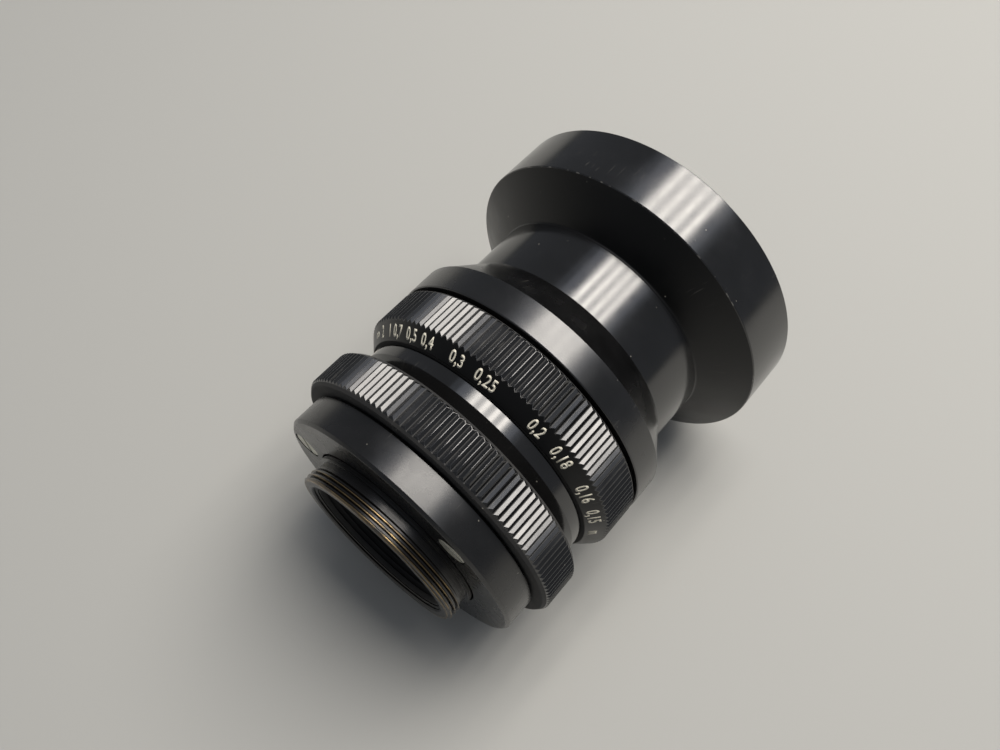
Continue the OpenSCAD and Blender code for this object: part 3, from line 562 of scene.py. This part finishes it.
TUBE_BORE_R = 16.1
TUBE_FRONT = 7.0
RELIEF_R = THREAD_R - 0.5           # the plain neck in front of the thread
SHOULDER_REAR = -0.9
FLANGE_FLOOR = 1.5                  # front of the wall that the screws hold
tube = turned("screw_tube", [
    (TUBE_BORE_R, thread_rear + 1.2), (TUBE_BORE_R + 0.35, thread_rear + 1.0),
    (TUBE_BORE_R + 0.25, thread_rear + 0.75), (TUBE_BORE_R + 0.8, thread_rear + 0.55),
    (TUBE_BORE_R + 0.7, thread_rear + 0.3), (TUBE_BORE_R + 1.15, thread_rear),
    (ROOT_R - 0.1, thread_rear), (ROOT_R, thread_rear + 0.1), (ROOT_R, THREAD_FRONT),
    (RELIEF_R, THREAD_FRONT + 0.1), (RELIEF_R, SHOULDER_REAR), (shoulder_r, SHOULDER_REAR),
    (shoulder_r, FLANGE_FLOOR), (FOOT_R, FLANGE_FLOOR), (FOOT_R, TUBE_FRONT),
    (TUBE_BORE_R, TUBE_FRONT)])

# the thread's ridge: a flat-topped tooth wound round the tube, its ends trimmed by a
# chamfered sleeve
TOOTH_FOOT_R = ROOT_R - 0.3         # inside the tube's skin, so that the two join
CREST_HALF = 0.09
TOOTH_HALF = 0.46
ridge_start = thread_rear - 0.6
ridge = traced("thread_ridge", [
    (TOOTH_FOOT_R, ridge_start - TOOTH_HALF), (THREAD_R, ridge_start - CREST_HALF),
    (THREAD_R, ridge_start + CREST_HALF), (TOOTH_FOOT_R, ridge_start + TOOTH_HALF)])
bpy.ops.mesh.remove_doubles(threshold=WELD)
bpy.ops.object.mode_set(mode="OBJECT")
bpy.ops.object.modifier_add(type="SCREW")
winding = ridge.modifiers[-1]
winding.axis = "Y"
winding.screw_offset = THREAD_PITCH * MM
winding.iterations = 5
winding.steps = 180
winding.render_steps = 180
bpy.ops.object.modifier_apply(modifier=winding.name)
bpy.ops.object.mode_set(mode="EDIT")
bpy.ops.mesh.select_mode(type="EDGE")
bpy.ops.mesh.select_all(action="DESELECT")
bpy.ops.mesh.select_non_manifold(extend=False)
bpy.ops.mesh.fill_holes(sides=4)
bpy.ops.mesh.select_all(action="SELECT")
bpy.ops.mesh.normals_make_consistent(inside=False)
bpy.ops.object.mode_set(mode="OBJECT")
SLEEVE_R = THREAD_R + 0.1
SLEEVE_BORE_R = 18
sleeve = turned("sleeve", [
    (SLEEVE_BORE_R, thread_rear), (SLEEVE_R - 0.5, thread_rear), (SLEEVE_R, thread_rear + 0.5),
    (SLEEVE_R, THREAD_FRONT - 0.5), (RELIEF_R, THREAD_FRONT), (SLEEVE_BORE_R, THREAD_FRONT)],
    edge=0)
carve(ridge, sleeve, "INTERSECT")
carve(tube, ridge, "UNION")
dress(tube, "fixed_barrel", "worn_brass", brass, "mount_thread")

FLANGE_BORE_R = 20.2
FLANGE_CUP_R = 27.1 + FIT
CUP_REAR = 4.2
flange = turned("flange", [
    (FLANGE_BORE_R, 0), (flange_r - 0.6, 0), (flange_r, 0.6), (flange_r, flange_front - 0.4),
    (flange_r - 0.4, flange_front), (FLANGE_CUP_R, flange_front), (FLANGE_CUP_R, CUP_REAR),
    (FOOT_R + FIT, CUP_REAR), (FOOT_R + FIT, FLANGE_FLOOR), (FLANGE_BORE_R, FLANGE_FLOOR)],
    edge=0.08)
SCREW_CIRCLE = 24.6
SCREW_ANGLES = (40, 160, 280)
HEAD_R = 2.95
HEAD_HEIGHT = 1.5
HEAD_FRONT = 1.6
SHANK_LENGTH = 4.9
SHANK_SHARE = 0.49                  # thickness of the shank against the head
SLOT_TURN = -21                     # a screw's slot, in degrees from square to its radius
for angle in SCREW_ANGLES:
    carve(flange, stub(HEAD_R + 0.2, 2.6, around(SCREW_CIRCLE, 0.3, angle)))
dress(flange, "fixed_barrel", "black_anodised", satin, "mount_flange")

# one slotted cheese-head screw, copied round the flange
screw = stub(HEAD_R, HEAD_HEIGHT, (0, (HEAD_FRONT - HEAD_HEIGHT / 2) * MM, 0))
screw.name = "flange_screw_1"
pick(screw, lambda place: place.y > HEAD_FRONT - 0.1)
bpy.ops.mesh.extrude_region_move()
bpy.ops.transform.resize(value=(SHANK_SHARE, 1, SHANK_SHARE), center_override=(0, 0, 0))
bpy.ops.mesh.extrude_region_move(TRANSFORM_OT_translate={"value": (0, SHANK_LENGTH * MM, 0)})
bpy.ops.object.mode_set(mode="OBJECT")
soften(screw, 0.12, 40, 2)
carve(screw, block(width=6.5, length=1.3, depth=0.6, radius=0, y=0.1, angle=0))
screws = [screw]
for number in (2, 3):
    only(screw)
    bpy.ops.object.duplicate(linked=False)
    bpy.context.object.name = f"flange_screw_{number}"
    screws.append(bpy.context.object)
for piece, angle in zip(screws, SCREW_ANGLES):
    only(piece)
    piece.rotation_euler = (0, math.radians(angle + SLOT_TURN), 0)
    piece.location = around(SCREW_CIRCLE, 0, angle)
    bpy.ops.object.transform_apply()
    dress(piece, "fixed_barrel", "steel", screw_steel, "flange_screws")

BAFFLE_TEETH = 11
BAFFLE_WALL = 0.3
baffle_pitch = (baffle_front - BAFFLE_WALL - baffle_rear) / BAFFLE_TEETH
baffle = turned("rear_baffle_sleeve", [(baffle_r, baffle_front), (baffle_r, baffle_rear)]
                + saw_teeth(baffle_r - BAFFLE_WALL, baffle_r - 0.8, baffle_rear,
                            baffle_pitch, BAFFLE_TEETH)
                + [(baffle_r - BAFFLE_WALL, baffle_front)], edge=0.02)
dress(baffle, "fixed_barrel", "matt_black", matt, "rear_baffle")

# ---- Aperture ring, index ring and focus ring ----

APERTURE_CHAMFER = 1
ring = turned("aperture_grip", [
    (BARREL_R, aperture_rear), (grip_r - APERTURE_CHAMFER, aperture_rear),
    (grip_r, aperture_rear + APERTURE_CHAMFER), (grip_r, aperture_front - APERTURE_CHAMFER),
    (grip_r - APERTURE_CHAMFER, aperture_front), (BARREL_R, aperture_front)],
    sides=GRIP_SIDES, edge=0)
knurl(ring, aperture_rear + APERTURE_CHAMFER, aperture_front - APERTURE_CHAMFER)
dress(ring, "aperture_ring", "black_anodised", grip, "aperture_ring")

INDEX_BORE_R = 25.0 + FIT
index = turned("index_band", [
    (INDEX_BORE_R, index_rear), (25.5, index_rear), (index_r, index_rear + 3.1),
    (index_r, index_front), (INDEX_BORE_R, index_front)])
dress(index, "fixed_barrel", "black_anodised", bright, "index_ring")

FOCUS_CHAMFER = 0.7
FOCUS_BORE_R = SKIRT_R + 0.1        # over the front tube's skirt
FOCUS_WALL = 2.1                    # between the ring's two bores
scale_top = focus_rear + (grip_r - SCALE_R)
focus = turned("focus_grip", [
    (BARREL_R, focus_rear), (SCALE_R, focus_rear), (grip_r - 0.6, scale_top - 0.6),
    (grip_r, scale_top), (grip_r, focus_front - FOCUS_CHAMFER),
    (grip_r - FOCUS_CHAMFER, focus_front), (FOCUS_BORE_R, focus_front),
    (FOCUS_BORE_R, focus_rear + FOCUS_WALL), (BARREL_R, focus_rear + FOCUS_WALL)],
    sides=GRIP_SIDES, edge=0)
knurl(focus, scale_top, focus_front - FOCUS_CHAMFER)
dress(focus, "focus_ring", "black_anodised", grip, "focus_ring")
second_finish(focus, deep_black, lambda radius, y: y < focus_rear + 2.9 and radius > 28)

# ---- Engraved figures, filled with cream paint ----

# distances in metres, each at its angle from the top of the lens with the ring at infinity
INFINITY = -62.5
DISTANCES = {
    "2": -55.6, "1": -48.1, "0,7": -41.7, "0,5": -32.1, "0,4": -23, "0,3": -8.3, "0,25": 4.7,
    "0,2": 28.2, "0,18": 41.7, "0,16": 60.4, "0,15": 74.7, "m": 88.5,
}
DISTANCE_HEIGHT = 2.55
SCALE_SLOPE = 45
scale_middle = (SCALE_R + 1.3, focus_rear + 1.3)
figures = [figure(words, DISTANCE_HEIGHT, *scale_middle, angle, SCALE_SLOPE, focus)
           for words, angle in DISTANCES.items()]
# the sign for infinity is an 8 on its side
figures.append(figure("8", DISTANCE_HEIGHT, *scale_middle, INFINITY, SCALE_SLOPE, focus, turn=90))
dress(joined("distance_figures", figures), "focus_ring", "black_anodised", paint)

# stops, each with a line to it, from the side of the lens downwards
STOPS = ("2", "2,8", "4", "5,6", "8", "11", "16")
STOP_HEIGHT = 2.1
stop_angles = [-80 - 7 * number for number in range(len(STOPS))]
stops = [figure(words, STOP_HEIGHT, flange_r, 3.2, angle, 0, flange)
         for words, angle in zip(STOPS, stop_angles)]
stops += [painted_line(0.28, 1.1, flange_r, 5.6, angle) for angle in stop_angles]
stops.append(painted_line(0.35, 2.4, index_r, index_front - 1.4, INFINITY))
dress(joined("fixed_figures", stops), "fixed_barrel", "black_anodised", paint)

# ---- Front barrel and hood ----

INNER_REAR = 36.5                   # rear of the wall that the iris housing stands in
barrel = turned("front_tube", [
    (BARREL_R, barrel_rear), (SKIRT_R, barrel_rear), (SKIRT_R, BAND_REAR),
    (grip_r - 0.2, BAND_REAR), (grip_r, BAND_REAR + 0.2), (grip_r, BAND_FRONT - 0.2),
    (grip_r - 0.2, BAND_FRONT), (NECK_R, CONE_FRONT), (NECK_R, neck_front),
    (HOOD_THREAD_R + FIT, neck_front), (HOOD_THREAD_R + FIT, neck_front - 5.6),
    (CELL_R + FIT, neck_front - 5.6), (CELL_R + FIT, INNER_REAR + 7.5), (22, INNER_REAR + 7.5),
    (22, INNER_REAR + 3.5), (HOUSING_R + FIT, INNER_REAR + 3.5), (HOUSING_R + FIT, INNER_REAR),
    (BARREL_R, INNER_REAR)])
# slots for the two guide keys
for angle in (90, 270):
    carve(barrel, block(width=3.2, length=6.7, depth=6, radius=27.5, y=barrel_rear + 2.35,
                        angle=angle))
dress(barrel, "lens_unit", "black_anodised", smooth, "front_barrel")

HOOD_TEETH = 6
HOOD_LIP = 0.8                      # plain wall in front of the teeth
HOOD_BORE_R = CELL_R + 0.1
HOOD_FLOOR_R = 25.6
hood_floor = neck_front + 1.5
rim_in = hood_r - 1.5
inner_cone = hood_floor + (rim_in - HOOD_FLOOR_R) * 5.9 / 10
teeth_front = hood_front - HOOD_LIP
hood_pitch = (teeth_front - inner_cone - 1) / HOOD_TEETH
hood = turned("hood_shell", [
    (HOOD_BORE_R, sleeve_rear), (HOOD_THREAD_R, sleeve_rear), (HOOD_THREAD_R, neck_front),
    (NECK_R, neck_front), (NECK_R + 0.1, neck_front + 0.4), (NECK_R + 0.35, neck_front + 0.6),
    (NECK_R + 0.8, neck_front + 0.8), (hood_r - 0.2, RIM_REAR), (hood_r, RIM_REAR + 0.2),
    (hood_r, hood_front - 0.4), (hood_r - 0.4, hood_front), (rim_in, hood_front)]
    + saw_teeth(rim_in, rim_in + 0.4, teeth_front, -hood_pitch, HOOD_TEETH)
    + [(rim_in, inner_cone + 1), (rim_in, inner_cone), (HOOD_FLOOR_R, hood_floor),
       (HOOD_BORE_R, hood_floor)])
dress(hood, "lens_unit", "black_anodised", hood_black, "hood")
second_finish(hood, deep_black, lambda radius, y: y < RIM_REAR and radius > NECK_R + 0.8
              or radius < rim_in + 0.5)

# ---- Floor, light and air ----

# the lens lies on its hood's rim and on its rear grip, so the floor tilts to meet both
FLOOR_TILT = math.atan((hood_r - grip_r) / (RIM_REAR - aperture_rear - APERTURE_CHAMFER))
deselect()
bpy.ops.mesh.primitive_plane_add(size=4, location=(0, RIM_REAR * MM, -hood_r * MM),
                                 rotation=(-FLOOR_TILT, 0, 0))
floor = bpy.context.object
floor.name = "floor"
pale, pale_tree, pale_shader = blank("pale_floor")
drive(pale_tree, pale_shader, Base_Color=linear("#b4b4b0"), Roughness=0.8)
floor.data.materials.append(pale)

KEY_HEIGHT = 0.83
KEY_LENGTH = 0.94
KEY_Y = 0.56
KEY_SIDE = KEY_HEIGHT * math.tan(math.radians(7))
PANES = 4
PANE_SPACING = 0.145


def panel(name, x, y, z, width, length, radiance, colour):
    """A soft light facing down, its power worked out from its size and its brightness in
    W/(m2 sr)."""
    deselect()
    bpy.ops.object.light_add(type="AREA", location=(x, y, z))
    lamp = bpy.context.object
    lamp.name = name
    lamp.data.shape = "RECTANGLE"
    lamp.data.size = width
    lamp.data.size_y = length
    lamp.data.energy = radiance * math.pi * width * length
    lamp.data.color = colour


# a window of four panes along the lens, a glow round it and a dim ceiling behind
for number in range(PANES):
    across = KEY_SIDE + (number - (PANES - 1) / 2) * PANE_SPACING
    panel(f"pane_{number + 1}", across, KEY_Y, KEY_HEIGHT, 0.065, KEY_LENGTH, 7.0,
          (1, 0.93, 0.84))
panel("window", KEY_SIDE, KEY_Y, KEY_HEIGHT + 0.02, 0.6, KEY_LENGTH, 3.4, (1, 0.95, 0.88))
panel("window_edge", KEY_SIDE, KEY_Y, KEY_HEIGHT + 0.04, 0.95, KEY_LENGTH, 0.6,
      (0.84, 0.88, 1))
panel("ceiling", 0.1, 0.45, 0.95, 1.3, 1.3, 0.2, (0.78, 0.86, 1))

world = bpy.data.worlds.new("air")
bpy.context.scene.world = world
world.use_nodes = True
world.node_tree.nodes.clear()
air = add(world.node_tree, "Background", {"Color": (0.155, 0.163, 0.178, 1), "Strength": 1.0})
add(world.node_tree, "OutputWorld", {"Surface": air.outputs[0]})

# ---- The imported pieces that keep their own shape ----

# copies with their points welded, so that they shade smoothly
POLISHED = [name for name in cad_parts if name.startswith("element")]
POLISHED += ["front_cell", "front_retaining_ring"]
for name in POLISHED:
    only(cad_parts[name])
    bpy.ops.object.duplicate(linked=False)
    polished = bpy.context.object
    polished.name = f"{name}_polished"
    bpy.ops.object.mode_set(mode="EDIT")
    bpy.ops.mesh.select_all(action="SELECT")
    bpy.ops.mesh.remove_doubles(threshold=2 * WELD)
    bpy.ops.object.mode_set(mode="OBJECT")
    bpy.ops.object.shade_smooth_by_angle(angle=SMOOTH_ANGLE)
    polished.parent = None
    if name.startswith("element"):
        dress(polished, "lens_unit", "coated_glass", glass, name)
    else:
        dress(polished, "lens_unit", "matt_black", matt, name)

CARRIED = {
    "main_barrel": satin, "focus_retaining_ring": satin, "guide_keys": steel,
    "click_ball": steel, "click_spring": steel, "aperture_drive_pin": steel,
    "focus_stop_pin": steel, "iris_drive_ring": steel,
}
for name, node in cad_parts.items():
    finish = CARRIED.get(name, blued if name.startswith("iris_blade") else matt)
    node.data.materials.clear()
    node.data.materials.append(finish)
